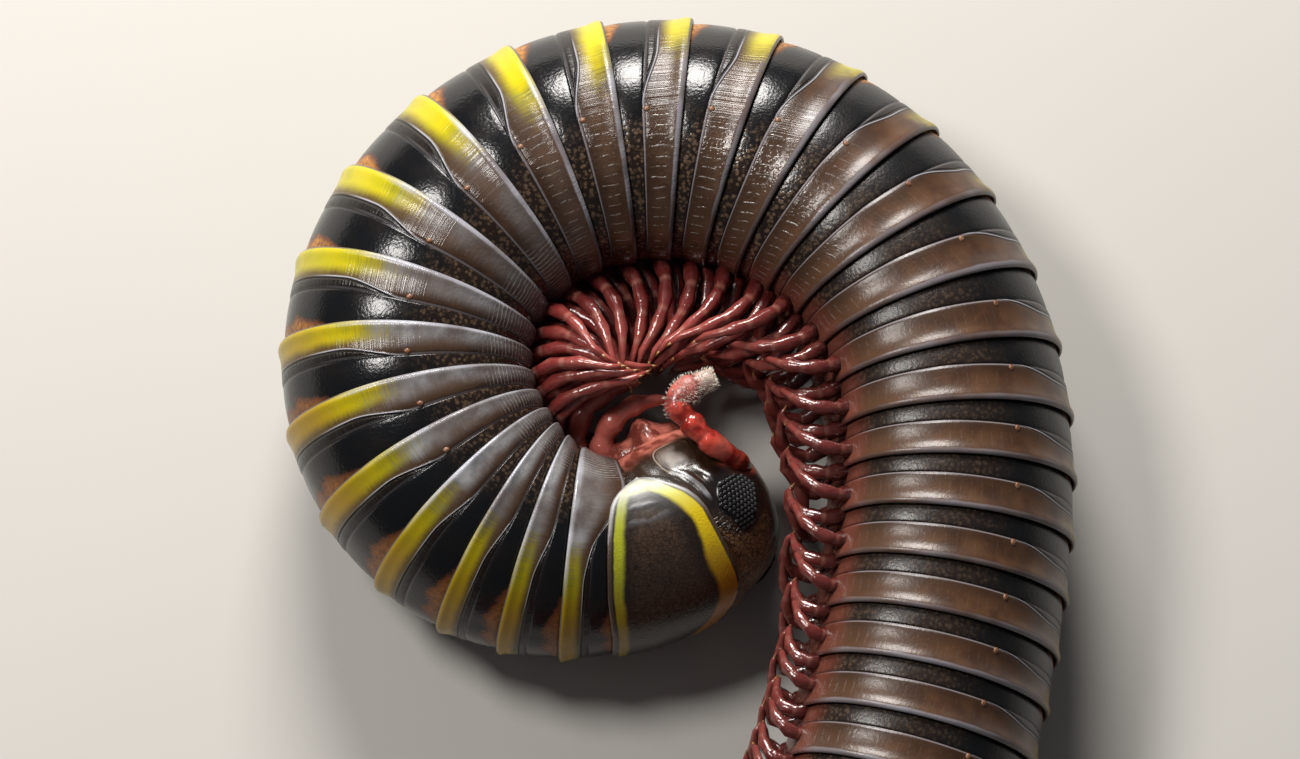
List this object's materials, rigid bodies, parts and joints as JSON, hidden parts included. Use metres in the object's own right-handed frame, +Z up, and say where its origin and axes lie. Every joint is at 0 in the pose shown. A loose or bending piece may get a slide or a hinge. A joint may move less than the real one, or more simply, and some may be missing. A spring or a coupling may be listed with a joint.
{
  "type": "bumblebee millipede",
  "caption": "Life-size still model of a banded millipede curled on its side, with ringed body, many legs, blunt head, eye patches and bent feelers.",
  "frame": {"origin": "middle of the whole animal's bounding box in plan, on the floor that it lies on", "axes": "+X the way the head looks, +Y from the laid-out tail to the far side of the coil, +Z up, out of the animal's left flank"},
  "size_m": [0.0262, 0.0364, 0.0069],
  "materials": {
    "shell": "glossy black-brown cuticle with a lime-yellow band on each ring",
    "collar": "glossy dark brown cuticle with a lime-yellow border",
    "head": "satin dark brown cuticle with fine mottling",
    "eye": "wet black facets",
    "antenna": "translucent red cuticle with pale down at the tip"
  },
  "bodies": {
    "root": {"head": "head", "left_eye": "eye", "right_eye": "eye", "left_antenna": "antenna", "right_antenna": "antenna", "collum": "collar", "trunk_1": "shell", "trunk_2": "shell", "trunk_3": "shell", "trunk_4": "shell", "trunk_5": "shell", "trunk_6": "shell", "trunk_7": "shell", "telson": "shell"}
  },
  "joints": []
}
